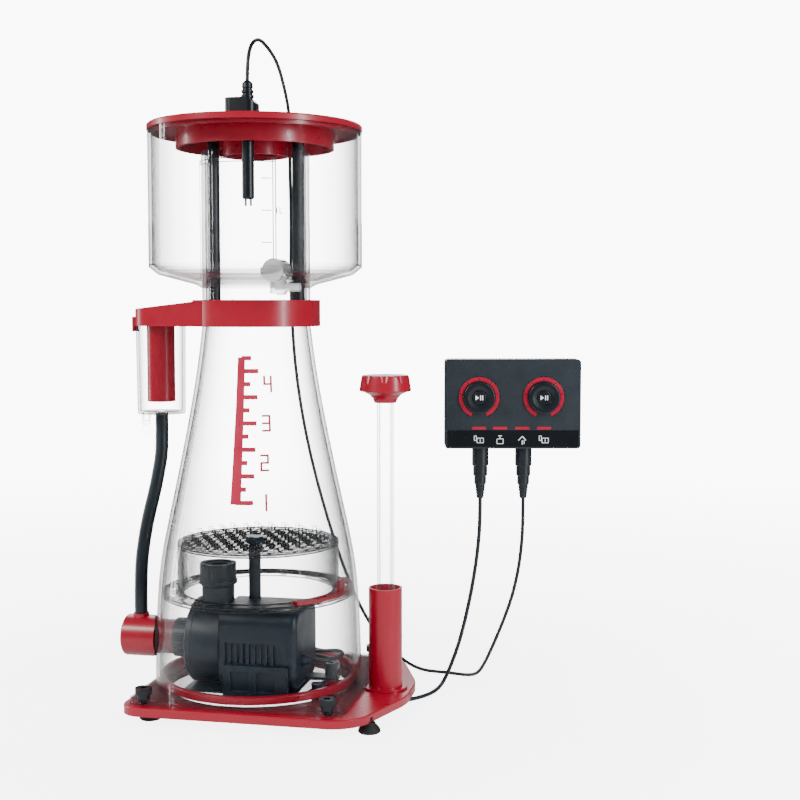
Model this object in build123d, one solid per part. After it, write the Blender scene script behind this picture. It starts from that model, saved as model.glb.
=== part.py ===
from build123d import *
import math
import os

# Protein skimmer for a reef aquarium sump, with its needle-wheel pump, overflow sensor and controller.
# Millimetres, +Z up. Origin: where the skimmer's own axis meets the sump floor. +X runs to the outlet column.
os.makedirs("parts", exist_ok=True)

# ---- heights of the stack, from the floor up ----
FOOT_H = 8.5
PLATE_T = 7.3
PLATE_TOP = FOOT_H + PLATE_T
FLANGE_GAP = 0.2
FLANGE_T = 3.5
FLOOR_BOTTOM = PLATE_TOP + FLANGE_GAP
FLOOR_TOP = FLOOR_BOTTOM + FLANGE_T
RING_PLATE_Z = 95.3
RING_PLATE_T = 3.7
BUBBLE_Z = 138.5
BUBBLE_T = 3.0
POST_Y = -11.0
COLLAR_BOTTOM = 330.2
COLLAR_TOP = 352.9
NECK_TOP = 479.2
CUP_FLOOR_Z = 383.0
CUP_RIM = 496.8
LID_TOP = 502.5

# ---- radii ----
WALL = 3.0
NECK_R = 46.7
COLLAR_R = 55.4
CUP_R = 92.0
BASE_R = 90.5
BASE_HOLE_R = 80.0

# ---- the base plate and the clear flange ----
PLATE_LEFT = -92.0
PLATE_RIGHT = 138.0
PLATE_HALF = 100.0
FLANGE_LEFT = -88.0
FLANGE_RIGHT = 99.0
FLANGE_HALF = 93.0
SCREW_PLACES = [(-74.0, -86.0), (85.0, -86.0), (85.0, 86.0), (-74.0, 86.0)]
SCREW_R = 3.0
FOOT_PLACES = [(-72.0, -76.0), (117.0, -74.0), (117.0, 74.0), (-72.0, 76.0)]

# ---- the pump, lying along X beside the cone's axis ----
PUMP_Y = -26.0
PUMP_Z = 58.0
VOLUTE_R = 36.0
MOTOR_HALF = 34.0
VOLUTE_LEFT = -48.0
VOLUTE_RIGHT = -17.0
MOTOR_RIGHT = 44.0
CAP_RIGHT = 51.0
RISER_X = -28.5
SHAFT_R = 2.5
RUNNING_GAP = 0.05
MOTOR_TOP = PUMP_Z + MOTOR_HALF
WELL_R = 14.5
ROTOR_BORE_R = 13.0
BRACKET_Z = 28.0
HOSE_PORT_Z = 78.0
WALL_FACE_X = -90.0
VENTURI_LEFT = -113.5
VENTURI_RIGHT = -82.0
VENTURI_R = 18.0
GASKET_T = 1.5

# ---- the outlet column and its valve ----
COLUMN_X = 114.7
COLUMN_R = 14.5
COLUMN_TOP = 104.4
VALVE_TUBE_R = 7.2
SLEEVE_R = 10.9
KNOB_BOTTOM = 265.0
KNOB_TOP = 288.6

# ---- silencer and air hose ----
SILENCER_X = -88.0
SILENCER_Y = -2.0
SILENCER_R = 21.8
SILENCER_BOTTOM = 252.7
HOSE_D = 11.4
HOSE_BORE_R = 3.7

# ---- cord gland in the floor, and the post that holds the pump down ----
GLAND_X, GLAND_Y = 63.0, -37.0
BOSS_X, BOSS_Y = 72.0, -24.0

# ---- cup drain ----
DRAIN_X = 36.5
DRAIN_Y = -58.0
DRAIN_Z = 376.9
DRAIN_BORE_R = 4.0
DRAIN_BODY_R = 9.6
DRAIN_FRONT = -74.0
BARB_Z = 363.0
BARB_SHOULDER = 43.5
BARB_END = 56.0

# ---- sensor on the lid ----
CORD_CUT_Z = 505.0
SENSOR_X = 11.2
SENSOR_Y = -55.0
PROBE_R = 5.0

# ---- rods under the lid that clean the neck ----
ROD_X = 38.2
ROD_R = 5.2
ROD_TOP = 499.5

# ---- controller, hung beside the skimmer and turned about Z ----
CONTROLLER_Z = 261.2
CONTROLLER_AT = Location((216.3, 64.4, CONTROLLER_Z), (0, 0, 11.5))
CONTROLLER_W = 120.0
CONTROLLER_D = 26.0
CONTROLLER_H = 79.0
PORT_X = [-28.0, 10.5, 29.5]
STATUS_X = [-30.0, -11.4, 8.2, 27.4]
PLUG_TIP = 176.0
PORT_R = 6.0
PORT_DEPTH = 8.0
DIAL_X = [-30.0, 27.0]
DIAL_Z = 6.0
DIAL_R = 14.0
DIAL_H = 6.0
BUTTON_R = 6.4

PUMP_CORD_D = 3.6
SENSOR_CORD_D = 3.2


# ---- helpers ----
def cylinder(radius, low, high, x=0.0, y=0.0):
    """An upright cylinder from one height to another."""
    return Pos(x, y, (low + high) / 2) * Cylinder(radius, high - low)


def tube(outer, inner, low, high, x=0.0, y=0.0):
    """An upright tube."""
    return cylinder(outer, low, high, x, y) - cylinder(inner, low - 1, high + 1, x, y)


def along_x(radius, left, right, y=PUMP_Y, z=PUMP_Z):
    """A cylinder lying along X."""
    return Pos((left + right) / 2, y, z) * Rot(0, 90, 0) * Cylinder(radius, right - left)


def along_y(radius, near, far, x, z):
    """A cylinder lying along Y."""
    return Pos(x, (near + far) / 2, z) * Rot(90, 0, 0) * Cylinder(radius, far - near)


def block(x_range, y_range, z_range):
    """A box between two corners."""
    centre = [(a + b) / 2 for a, b in (x_range, y_range, z_range)]
    sizes = [b - a for a, b in (x_range, y_range, z_range)]
    return Pos(*centre) * Box(*sizes)


def turned(points, x=0.0, y=0.0):
    """A solid of revolution about an upright axis, from (radius, height) points."""
    face = make_face(Polyline(*points, close=True))
    return Pos(x, y, 0) * revolve(Plane.XZ * face, Axis.Z)


def turned_along_x(points, y=PUMP_Y, z=PUMP_Z):
    """A solid of revolution about an axis along X, from (radius, x) points."""
    face = make_face(Polyline(*points, close=True))
    solid = revolve(Plane.XZ * face, Axis.Z)
    return Pos(0, y, z) * Rot(0, 90, 0) * solid


def rounded_plate(points, radii, low, high):
    """A flat plate with a rounded outline."""
    sketch = make_face(FilletPolyline(*points, radius=radii, close=True))
    return Pos(0, 0, low) * extrude(sketch, high - low)


def polar(radius, degrees):
    """A point on a circle about the Z axis."""
    angle = math.radians(degrees)
    return radius * math.cos(angle), radius * math.sin(angle)


def in_controller(shape):
    """Moves a shape from the controller's own frame, front face towards -Y, to where it hangs."""
    return CONTROLLER_AT * shape


def save(name, shape):
    """Writes one node."""
    export_step(shape, f"parts/{name}.step")


def save_group(name, shapes):
    """Writes one node made of separate solids."""
    export_step(Compound(children=list(shapes)), f"parts/{name}.step")


# ---- base ----
def base_outline():
    points = [
        (PLATE_LEFT, -PLATE_HALF), (110.0, -PLATE_HALF), (PLATE_RIGHT, -22.0),
        (PLATE_RIGHT, 22.0), (110.0, PLATE_HALF), (PLATE_LEFT, PLATE_HALF),
    ]
    return points, [18.0, 35.0, 60.0, 60.0, 35.0, 18.0]


def make_base_plate():
    points, radii = base_outline()
    plate = rounded_plate(points, radii, FOOT_H, PLATE_TOP)
    top_edges = plate.edges().group_by(Axis.Z)[-1]
    plate = chamfer(top_edges, 0.8)
    plate -= cylinder(BASE_HOLE_R, FOOT_H - 1, PLATE_TOP + 1)
    tongue = block((58.0, 82.0), (-15.0, 15.0), (FOOT_H, PLATE_TOP))
    plate += tongue
    plate -= block((61.0, COLUMN_X + 8.0), (-11.0, 11.0), (FOOT_H + 2.0, PLATE_TOP - 2.0))
    plate -= block((63.0, 76.0), (-8.0, 8.0), (FOOT_H + 3.0, PLATE_TOP + 1))
    plate -= cylinder(8.0, FOOT_H + 3.0, PLATE_TOP + 1, COLUMN_X)
    for x, y in SCREW_PLACES:
        plate -= cylinder(SCREW_R + RUNNING_GAP, FOOT_H - 1, PLATE_TOP + 1, x, y)
    for x, y in FOOT_PLACES:
        plate -= cylinder(3.0, FOOT_H - 1, FOOT_H + 4.0, x, y)
    return plate


def make_foot(x, y):
    profile = [
        (0, 0), (8.4, 0), (9.4, 1.0), (9.2, 2.6), (7.4, 5.2), (5.4, 7.4), (5.0, FOOT_H),
        (2.9, FOOT_H), (2.9, FOOT_H + 3.6), (0, FOOT_H + 3.6),
    ]
    return turned(profile, x, y)


def make_locating_ring():
    """The ring that centres the cone's wall on its floor."""
    return turned([
        (82.0, FLOOR_TOP), (86.9, FLOOR_TOP), (86.9, FLOOR_TOP + 5.5), (86.0, FLOOR_TOP + 6.5),
        (82.8, FLOOR_TOP + 6.5), (82.0, FLOOR_TOP + 5.7),
    ])


# ---- reaction cone ----
CONE_OUTLINE = [
    (90.2, 45.0), (88.8, 82.0), (84.8, 125.5), (76.2, 169.0), (66.6, 214.0), (56.9, 263.0), (47.4, 327.0),
]


def cone_solid(inset, low, high):
    """The cone's body of revolution, shrunk by inset, between two heights."""
    shoulder = [(BASE_R - inset, low)] + [(r - inset, z) for r, z in CONE_OUTLINE]
    side = Spline(*shoulder)
    neck = (47.0 - inset, 328.5)
    end = (47.0 - inset, high)
    rest = Polyline(shoulder[-1], neck, end, (0, high), (0, low), shoulder[0])
    return revolve(Plane.XZ * make_face([side, rest]), Axis.Z)


def make_reaction_cone():
    cone = cone_solid(0.0, FLOOR_BOTTOM, 337.5)
    half = FLANGE_HALF
    corners = [(FLANGE_LEFT, -half), (FLANGE_RIGHT, -half), (FLANGE_RIGHT, half), (FLANGE_LEFT, half)]
    cone += rounded_plate(corners, [14.0] * 4, FLOOR_BOTTOM, FLOOR_TOP)
    cone -= cone_solid(WALL, FLOOR_TOP, 338.5)
    cone -= along_x(15.2, WALL_FACE_X - 2, -60.0)
    cone -= block((63.5, 75.5), (-7.5, 7.5), (FLOOR_BOTTOM - 1, FLOOR_TOP + 1))
    cone -= cylinder(5.1, FLOOR_BOTTOM - 1, FLOOR_TOP + 1, GLAND_X, GLAND_Y)
    for x, y in SCREW_PLACES:
        cone -= cylinder(SCREW_R + 0.4, FLOOR_BOTTOM - 1, FLOOR_TOP + 1, x, y)
    return cone


def make_thumbscrew(x, y):
    low = FLOOR_TOP + 0.4
    shank = cylinder(SCREW_R, FOOT_H + 0.5, low, x, y)
    collar = cylinder(5.3, low, low + 4.2, x, y)
    head = cylinder(7.0, low + 4.2, low + 9.6, x, y)
    socket = Pos(x, y, low + 6.8) * extrude(RegularPolygon(3.0, 6), 5.0)
    screw = shank + collar + head - socket
    for k in range(24):
        gx, gy = polar(7.25, k * 15)
        screw -= cylinder(0.6, low + 4.8, low + 9.0, x + gx, y + gy)
    return screw


# ---- collar, silencer and air line ----
def make_neck_collar():
    ring = cylinder(COLLAR_R, COLLAR_BOTTOM, COLLAR_TOP)
    end = cylinder(22.0, COLLAR_BOTTOM, COLLAR_TOP, SILENCER_X, SILENCER_Y)
    hull = make_hull(
        (Circle(COLLAR_R - 3.0).edges() + (Pos(SILENCER_X, SILENCER_Y) * Circle(22.0)).edges())
    )
    arm = Pos(0, 0, COLLAR_BOTTOM) * extrude(hull, COLLAR_TOP - COLLAR_BOTTOM)
    collar = ring + end + arm
    slope = make_face(Polyline(
        (-30.0, COLLAR_TOP + 0.01), (-115.0, COLLAR_TOP - 8.6), (-115.0, 360.0), (-30.0, 360.0), close=True
    ))
    wedge = extrude(Plane.XZ * slope, 60.0, both=True)
    collar -= wedge - cylinder(COLLAR_R, 320.0, 370.0)
    collar -= cylinder(4.0, COLLAR_BOTTOM - 1, COLLAR_TOP + 1, SILENCER_X, SILENCER_Y)
    collar -= cylinder(47.0, COLLAR_BOTTOM - 1, 337.5)
    collar -= cylinder(43.9, 330.0, 345.0)
    collar -= cylinder(47.2, 339.5, COLLAR_TOP + 1)
    collar -= cylinder(50.0, 344.0, 348.0)
    tab = block((SILENCER_X - 24.5, SILENCER_X - 19.0), (-8.0, 4.0), (COLLAR_BOTTOM, COLLAR_BOTTOM + 8.0))
    lip = block((SILENCER_X - 24.5, SILENCER_X - 22.2), (-8.0, 4.0), (COLLAR_BOTTOM - 5.0, COLLAR_BOTTOM + 1.0))
    return collar + tab + lip


def make_port_gasket():
    """A ring that follows the cone's round wall."""
    ring = along_x(17.5, WALL_FACE_X - 3.0, -78.0) - along_x(15.05, WALL_FACE_X - 4.0, -77.0)
    return ring & (cone_solid(-GASKET_T, FLOOR_BOTTOM, 337.5) - cone_solid(0.0, FLOOR_BOTTOM, 337.5))


def make_silencer_cup():
    x, y = SILENCER_X, SILENCER_Y
    top = COLLAR_BOTTOM
    outer = turned([
        (0, SILENCER_BOTTOM), (20.2, SILENCER_BOTTOM), (20.9, SILENCER_BOTTOM + 0.7),
        (SILENCER_R, top), (0, top),
    ], x, y)
    inner = turned([
        (0, SILENCER_BOTTOM + 2.0), (18.9, SILENCER_BOTTOM + 2.0), (19.8, top + 1), (0, top + 1),
    ], x, y)
    cup = outer - inner
    barb = turned([
        (0, SILENCER_BOTTOM - 7.0), (3.4, SILENCER_BOTTOM - 7.0), (HOSE_BORE_R, SILENCER_BOTTOM - 5.0),
        (HOSE_BORE_R, SILENCER_BOTTOM + 2.0), (0, SILENCER_BOTTOM + 2.0),
    ], x, y)
    cup += barb
    cup -= cylinder(2.6, SILENCER_BOTTOM - 10.0, SILENCER_BOTTOM + 3.0, x, y)
    nipple = cylinder(2.6, SILENCER_BOTTOM - 7.0, SILENCER_BOTTOM + 1.0, x - 14.5, y)
    return cup + nipple


def make_silencer_tube():
    x, y = SILENCER_X, SILENCER_Y
    low = SILENCER_BOTTOM + 10.7
    body = tube(12.2, 10.2, low, COLLAR_BOTTOM, x, y)
    floor = tube(12.2, 3.0, low, low + 2.0, x, y)
    return body + floor


def make_silencer_drain_cap():
    x, y = SILENCER_X - 14.5, SILENCER_Y
    low = SILENCER_BOTTOM - 10.0
    cap = cylinder(3.9, low, SILENCER_BOTTOM - 0.4, x, y) - cylinder(2.65, low + 2.6, SILENCER_BOTTOM, x, y)
    loop = Pos(x, y, low - 4.5) * Rot(90, 0, 0) * Torus(4.2, 0.9)
    return cap + loop


def cord_solid(name, points, diameter, bore=0.0):
    """A tube along straight runs joined by arcs as large as the two runs beside each corner allow."""
    vectors = [Vector(*p) for p in points]
    runs = [b - a for a, b in zip(vectors, vectors[1:])]
    radii = []
    for before, after in zip(runs, runs[1:]):
        turn = math.radians(before.get_angle(after))
        radii.append(0.45 * min(before.length, after.length) / math.tan(turn / 2))
    path = FilletPolyline(*vectors, radius=radii)
    start = Plane(origin=vectors[0], z_dir=runs[0])
    section = Circle(diameter / 2)
    if bore:
        section -= Circle(bore / 2)
    solid = sweep(start * section, path=path)
    expected = math.pi * (diameter ** 2 - bore ** 2) / 4 * path.length
    shown = ", ".join(f"{r:.0f}" for r in radii)
    print(f"{name}: length {path.length:.1f} mm, volume ratio {solid.volume / expected:.4f}, radii {shown}")
    return solid


AIR_HOSE_ROUTE = [
    (-88.0, -2.0, SILENCER_BOTTOM), (-88.0, -2.0, 238.0), (-87.0, -5.5, 217.0), (-90.5, -10.5, 190.0),
    (-98.0, -15.7, 155.0), (-101.3, -20.5, 124.0), (-100.0, -26.0, 98.0), (-100.0, -26.0, 78.0),
]

PUMP_INNER_ROUTE = [
    (59.0, -40.0, 47.0), (69.0, -40.0, 47.0), (78.0, -28.0, 47.5), (79.0, -8.0, 46.0), (70.0, 12.0, 43.0),
    (52.0, 22.0, 39.0), (34.0, 26.0, 35.0), (21.0, 37.0, 30.0), (24.0, 53.0, 26.0), (42.0, 59.0, 24.0),
    (58.0, 49.0, 23.4), (66.0, 31.0, 23.0), (67.5, 11.0, 22.7), (64.0, -7.0, 22.5), (63.0, -19.0, 22.5),
    (63.0, -31.0, 22.5),
]

PUMP_CORD_ROUTE = [
    (70.0, -37.0, 5.2), (80.0, -37.0, 5.2), (93.0, -32.0, 3.2), (105.0, -22.0, 2.0), (114.0, -9.0, 1.9),
    (124.0, 4.0, 1.9), (134.5, 14.5, 1.9), (143.0, 25.0, 1.9), (149.5, 38.0, 1.9), (155.0, 49.5, 4.6),
    (160.0, 54.0, 14.5), (165.0, 55.0, 27.0), (172.0, 56.4, 48.0), (179.5, 58.2, 81.0), (184.8, 59.0, 112.0),
    (187.8, 59.2, 138.0), (188.9, 58.8, 158.0), (188.9, 58.8, PLUG_TIP),
]

SENSOR_UPPER_ROUTE = [
    (11.2, -55.0, 531.6), (11.2, -55.0, 546.0), (12.0, -48.0, 563.0), (13.0, -29.0, 571.0), (13.0, -6.0, 568.5),
    (11.8, 20.0, 564.0), (8.4, 47.0, 557.5), (4.0, 74.0, 548.5), (1.6, 95.0, 535.0), (0.9, 103.0, 520.0),
    (0.9, 103.0, CORD_CUT_Z),
]

SENSOR_LOWER_ROUTE = [
    (0.9, 103.0, CORD_CUT_Z), (0.9, 103.0, 475.0), (1.9, 103.4, 430.0), (0.8, 103.8, 380.0), (1.8, 104.2, 330.0),
    (5.0, 105.0, 285.0), (12.0, 106.0, 237.0), (22.0, 107.5, 190.0), (35.0, 109.0, 143.0), (48.0, 110.0, 103.0),
    (62.0, 110.6, 68.0), (77.0, 110.8, 41.0), (94.0, 110.6, 22.0), (110.0, 109.4, 9.0), (126.0, 107.5, 2.4),
    (142.0, 106.4, 1.6), (158.0, 104.6, 1.6), (172.0, 99.0, 2.0), (183.0, 88.5, 7.0), (191.0, 77.5, 20.0),
    (200.0, 69.0, 40.0), (209.0, 65.4, 62.0), (217.5, 65.0, 86.0), (223.2, 65.8, 112.0), (226.0, 66.6, 138.0),
    (226.6, 66.5, 158.0), (226.6, 66.5, PLUG_TIP),
]


# ---- water inlet ----
def make_venturi_housing():
    left = VENTURI_LEFT
    body = along_x(VENTURI_R, left, VENTURI_RIGHT)
    body = fillet(body.edges().group_by(Axis.X)[0], 2.4)
    body -= cone_solid(-GASKET_T, FLOOR_BOTTOM, 337.5)
    body += along_x(15.0, WALL_FACE_X - 3.0, -57.0)
    body += cylinder(7.0, PUMP_Z + 12.0, HOSE_PORT_Z, -100.0, PUMP_Y)
    body += cylinder(HOSE_BORE_R, PUMP_Z + 12.0, HOSE_PORT_Z + 7.0, -100.0, PUMP_Y)
    body -= along_x(12.0, left - 1, left + 5.0)
    body -= along_x(11.0, left + 4.0, -56.0)
    body -= cylinder(2.2, PUMP_Z + 5.0, HOSE_PORT_Z + 8.0, -100.0, PUMP_Y)
    return body


def make_pump_union():
    ring = along_x(17.0, -66.0, VOLUTE_LEFT)
    for k in range(16):
        angle = 2 * math.pi * k / 16
        y = PUMP_Y + 17.6 * math.cos(angle)
        z = PUMP_Z + 17.6 * math.sin(angle)
        ring -= along_x(1.1, -64.8, -50.0, y, z)
    ring -= along_x(15.1, -67.0, -57.0)
    return ring - along_x(11.0, -58.0, VOLUTE_LEFT + 1)


# ---- pump ----
def make_volute_cover():
    cover = turned_along_x([
        (11.0, VOLUTE_LEFT), (34.9, VOLUTE_LEFT), (36.5, VOLUTE_LEFT + 1.6), (36.5, VOLUTE_LEFT + 6.0),
        (11.0, VOLUTE_LEFT + 6.0),
    ])
    for k in range(6):
        angle = math.radians(k * 60 + 30)
        y = PUMP_Y + 33.0 * math.cos(angle)
        z = PUMP_Z + 33.0 * math.sin(angle)
        cover -= along_x(1.6, VOLUTE_LEFT - 1, VOLUTE_LEFT + 1.6, y, z)
    return cover


def make_volute_chamber():
    left = VOLUTE_LEFT + 6.0
    outer = along_x(VOLUTE_R, left, VOLUTE_RIGHT)
    riser = turned([
        (0, PUMP_Z), (12.5, PUMP_Z), (14.0, 84.0), (14.0, 106.0), (16.7, 108.0), (16.7, 110.8), (11.5, 110.8),
        (11.5, 124.0), (0, 124.0),
    ], RISER_X, PUMP_Y)
    riser -= block((left - 20.0, left), (-60.0, 10.0), (PUMP_Z - 1, 96.0))
    riser -= block((VOLUTE_RIGHT, 20.0), (-60.0, 10.0), (PUMP_Z - 1, MOTOR_TOP + 0.2))
    solid = outer + riser
    solid -= along_x(32.0, left - 1, VOLUTE_RIGHT - 3.0)
    solid -= along_x(13.5, VOLUTE_RIGHT - 4.0, VOLUTE_RIGHT + 1)
    solid -= cylinder(9.0, PUMP_Z + 22.0, 125.0, RISER_X, PUMP_Y)
    return solid


def make_outlet_nut():
    nut = tube(15.7, 11.8, 111.0, 125.6, RISER_X, PUMP_Y)
    for k in range(18):
        gx, gy = polar(16.2, k * 20)
        nut -= cylinder(0.9, 112.6, 130.0, RISER_X + gx, PUMP_Y + gy)
    return nut


def motor_section(half, corner, left, right):
    """A rounded square bar along X, centred on the pump's axis."""
    end = Plane(origin=(left, PUMP_Y, PUMP_Z), z_dir=(1, 0, 0))
    return extrude(end * RectangleRounded(2 * half, 2 * half, corner), right - left)


def make_motor_housing():
    housing = motor_section(MOTOR_HALF, 14.0, VOLUTE_RIGHT, MOTOR_RIGHT)
    housing -= motor_section(MOTOR_HALF - 4.0, 10.0, VOLUTE_RIGHT + 3.0, MOTOR_RIGHT + 1)
    housing += along_x(WELL_R, VOLUTE_RIGHT, 24.0)
    housing -= along_x(ROTOR_BORE_R, VOLUTE_RIGHT - 1, 22.0)
    near = PUMP_Y - MOTOR_HALF
    for k in range(9):
        x = -10.0 + k * 5.3
        housing -= block((x - 1.3, x + 1.3), (near - 1, near + 1.8), (PUMP_Z - 11.0, PUMP_Z + 6.0))
    return housing


def make_motor_end_cap():
    cap = motor_section(MOTOR_HALF, 14.0, MOTOR_RIGHT, CAP_RIGHT)
    return fillet(cap.edges().group_by(Axis.X)[-1], 5.0)


def make_stator():
    core = along_x(29.0, -10.0, 18.0) - along_x(WELL_R, -12.0, 20.0)
    for k in range(6):
        slot = Rot(k * 60, 0, 0) * Pos(4.0, 0, 23.0) * Box(30.0, 3.0, 6.0)
        core -= Pos(0, PUMP_Y, PUMP_Z) * slot
    return core


def make_impeller():
    disc = along_x(24.0, -27.0, -24.8)
    wheel = disc + along_x(6.0, -40.0, -22.0)
    for ring_radius, count in ((11.0, 9), (16.5, 13), (22.0, 18)):
        for k in range(count):
            angle = 2 * math.pi * k / count
            y = PUMP_Y + ring_radius * math.cos(angle)
            z = PUMP_Z + ring_radius * math.sin(angle)
            wheel += along_x(1.0, -39.0, -26.5, y, z)
    return wheel - along_x(SHAFT_R, -41.0, -21.0)


def make_rotor_bearings():
    front = along_x(13.45, -20.0, -17.2) - along_x(SHAFT_R + RUNNING_GAP, -21.0, -16.0)
    rear = along_x(ROTOR_BORE_R, 17.0, 22.0) - along_x(SHAFT_R + RUNNING_GAP, 16.0, 23.0)
    return [front, rear]


def make_pump_cradle():
    z0 = FLOOR_TOP + 0.1
    tray = block((-50.0, -12.0), (-58.0, 6.0), (z0, z0 + 1.6))
    tray += block((-12.0, 48.0), (-64.0, 12.0), (z0, z0 + 1.6))
    near = block((-12.0, 45.0), (-64.0, -60.3), (z0, 46.0))
    far = block((-12.0, 45.0), (8.3, 12.0), (z0, 46.0))
    cradle = tray + near + far
    for x in (-8.0, 14.0, 36.0):
        cradle += block((x, x + 3.0), (-58.0, 6.0), (z0, PUMP_Z - MOTOR_HALF))
    for x, width in ((-5.5, 16.5), (17.0, 16.0)):
        cradle -= block((x, x + width), (-65.0, -61.9), (24.0, 41.0))
    return cradle


def make_hold_down_bracket():
    low = BRACKET_Z
    sketch = make_face(FilletPolyline(
        (CAP_RIGHT, -33.0), (66.0, -30.5), (79.0, -30.5), (79.0, -17.5), (66.0, -17.5), (CAP_RIGHT, -15.0),
        radius=[4.0, 5.0, 5.0, 4.0], close=False
    ) + Line((CAP_RIGHT, -15.0), (CAP_RIGHT, -33.0)))
    arm = Pos(0, 0, low) * extrude(sketch, 2.4)
    screw = cylinder(5.2, low + 2.4, low + 14.0, BOSS_X, BOSS_Y)
    socket = Pos(BOSS_X, BOSS_Y, low + 9.5) * extrude(RegularPolygon(2.8, 6), 6.0)
    return arm + screw - socket


def make_bracket_boss():
    """The stud on the cone's floor that the pump's bracket is screwed to."""
    return cylinder(5.0, FLOOR_TOP, BRACKET_Z, BOSS_X, BOSS_Y)


def make_cord_glands():
    profile = [(0, CAP_RIGHT), (5.2, CAP_RIGHT), (5.0, 53.5), (2.6, 59.0), (0, 59.0)]
    pump_end = turned_along_x(profile, -40.0, 47.0)
    x, y = GLAND_X, GLAND_Y
    stem = cylinder(5.0, 3.0, 27.0, x, y) + tube(7.4, 4.0, FLOOR_TOP, FLOOR_TOP + 1.2, x, y)
    tip = Rot(-90, 0, 0) * Cone(3.0, 2.3, 3.0)
    upper = along_y(3.0, y, y + 3.0, x, 22.5) + Pos(x, y + 4.5, 22.5) * tip
    lower = along_x(2.6, x, x + 7.0, y, 5.2)
    return [pump_end, stem + upper + lower]


# ---- bubble plates ----
def make_ring_plate():
    high = RING_PLATE_Z + RING_PLATE_T
    plate = tube(84.2, 66.0, RING_PLATE_Z, high)
    for k in range(18):
        slot = Pos(76.2, 0, RING_PLATE_Z - 1) * Rot(0, 0, 90) * extrude(SlotOverall(22.0, 8.0), 8)
        plate -= Rot(0, 0, k * 20) * slot
    return plate


def make_bubble_plate():
    top = BUBBLE_Z + BUBBLE_T
    plate = cylinder(70.8, BUBBLE_Z, top) + tube(70.8, 68.8, RING_PLATE_Z + RING_PLATE_T, top)
    hole = cylinder(1.8, BUBBLE_Z - 1, top + 1)
    pegs = []
    holes = []
    pitch = 13.0
    for row in range(-5, 6):
        for column in range(-8, 9):
            x = (column + (row % 2) / 2) * pitch
            y = row * pitch * math.sqrt(3) / 2
            if 10.0 < math.hypot(x, y - POST_Y) and math.hypot(x, y) < 64.0:
                pegs.append(Pos(x, y, top + 3.0) * Cylinder(2.2, 7.0))
            hole_x, hole_y = x + pitch / 2, y + pitch * 0.29
            if 10.0 < math.hypot(hole_x, hole_y - POST_Y) and math.hypot(hole_x, hole_y) < 64.0:
                holes.append(Pos(hole_x, hole_y, 0) * hole)
    return plate - holes + pegs - cylinder(5.4, BUBBLE_Z - 1, top + 1, 0.0, POST_Y)


def make_bubble_post():
    top = BUBBLE_Z + BUBBLE_T
    post = cylinder(5.3, MOTOR_TOP, top + 5.5, 0.0, POST_Y)
    cap = Pos(0, POST_Y, top + 0.2) * extrude(RegularPolygon(8.5, 6), 5.3)
    return post + cap


def make_flow_shutter():
    low = RING_PLATE_Z + RING_PLATE_T + 0.3
    ring = tube(83.4, 72.0, low, low + 2.3)
    wedge = make_face(Polyline((0, 0), polar(140, -50), polar(160, -8), polar(140, 35), close=True))
    shutter = ring & (Pos(0, 0, low) * extrude(wedge, 3.0))
    for k in (-30, 15):
        slot = Pos(76.2, 0, low - 1) * Rot(0, 0, 90) * extrude(SlotOverall(15.0, 6.0), 5)
        shutter -= Rot(0, 0, k) * slot
    tab = Rot(0, 0, -8) * block((76.8, 79.2), (-5.0, 5.0), (low + 1.0, low + 12.0))
    return shutter + tab


# ---- outlet column and valve ----
def outlet_window(low, high, half_width):
    """The window cut through the back of the column."""
    return block((COLUMN_X - half_width, COLUMN_X + half_width), (3.0, 20.0), (low, high))


def make_outlet_column():
    column = cylinder(COLUMN_R, PLATE_TOP, COLUMN_TOP, COLUMN_X)
    foot = cylinder(19.0, PLATE_TOP, PLATE_TOP + 2.2, COLUMN_X)
    column += foot - block((90.0, FLANGE_RIGHT + 0.3), (-20, 20), (10, 20))
    column -= cylinder(SLEEVE_R + RUNNING_GAP, PLATE_TOP - 1, COLUMN_TOP - 13.0, COLUMN_X)
    recess = Pos(COLUMN_X, 0, COLUMN_TOP - 10.0) * extrude(RegularPolygon(7.9, 12), 10.5, taper=-27)
    column -= recess
    column -= cylinder(VALVE_TUBE_R + 0.3, COLUMN_TOP - 14.0, COLUMN_TOP + 1, COLUMN_X)
    return column - outlet_window(62.0, 84.0, 6.0)


def make_valve_sleeve():
    high = COLUMN_TOP - 14.0
    sleeve = tube(SLEEVE_R, 8.9, 22.0, high, COLUMN_X)
    sleeve += tube(SLEEVE_R, VALVE_TUBE_R, high - 4.0, high, COLUMN_X)
    return sleeve - outlet_window(62.0, 84.0, 5.5)


def make_valve_tube():
    return tube(VALVE_TUBE_R, 5.4, COLUMN_TOP - 18.0, KNOB_BOTTOM + 6.0, COLUMN_X)


def make_valve_knob():
    grip = turned([
        (0, KNOB_BOTTOM), (9.5, KNOB_BOTTOM), (10.6, KNOB_BOTTOM + 3.4), (13.6, KNOB_BOTTOM + 6.8),
        (18.6, KNOB_BOTTOM + 9.2), (22.0, KNOB_BOTTOM + 10.0), (22.3, KNOB_BOTTOM + 10.8), (20.4, KNOB_TOP - 1.0),
        (19.6, KNOB_TOP), (0, KNOB_TOP),
    ], COLUMN_X)
    for k in range(9):
        scallop = Pos(24.2, 0, KNOB_TOP - 4.5) * Cone(1.2, 6.6, 14.0)
        grip -= Pos(COLUMN_X, 0, 0) * Rot(0, 0, k * 40) * scallop
    for k in range(18):
        flute = Pos(15.4, 0, KNOB_BOTTOM + 3.0) * Rot(0, 42, 0) * Cylinder(0.9, 14.0)
        grip -= Pos(COLUMN_X, 0, 0) * Rot(0, 0, k * 20 + 10) * flute
    return grip - cylinder(VALVE_TUBE_R, KNOB_BOTTOM - 1, KNOB_BOTTOM + 6.0, COLUMN_X)


# ---- collection cup ----
def make_cup_wall():
    return tube(CUP_R, CUP_R - WALL, CUP_FLOOR_Z, CUP_RIM)


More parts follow.
